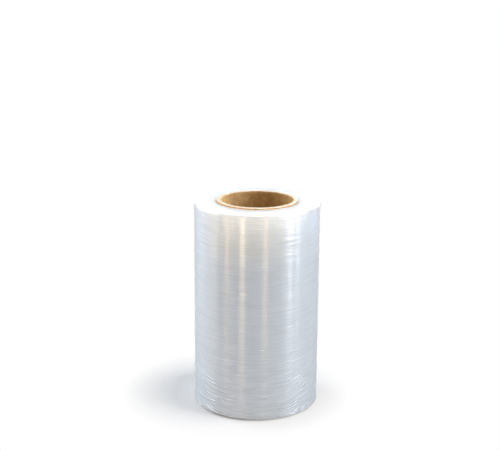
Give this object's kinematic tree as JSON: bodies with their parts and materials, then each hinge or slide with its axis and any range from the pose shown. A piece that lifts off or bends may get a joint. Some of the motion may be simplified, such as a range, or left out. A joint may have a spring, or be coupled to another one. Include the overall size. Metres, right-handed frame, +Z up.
{
  "type": "stretch wrap roll",
  "caption": "Roll of clear stretch wrap: polyethylene film wound tight on a spiral-wound paperboard core that stands slightly proud at each end, for wrapping and bundling goods.",
  "frame": {"origin": "centre of the core's lower end, on the floor that the roll stands on", "axes": "+Z up along the axis of the roll, from the lower end of the core to the upper one; the roll looks alike from all sides, and the view in the picture looks along +Y"},
  "size_m": [0.133, 0.133, 0.2215],
  "materials": {
    "core_board": "matt kraft paperboard, spiral wound and sawn square",
    "stretch_film": "clear glossy polyethylene film, milky where many turns lie together"
  },
  "bodies": {
    "root": {"core": "core_board", "film": "stretch_film"}
  },
  "joints": []
}
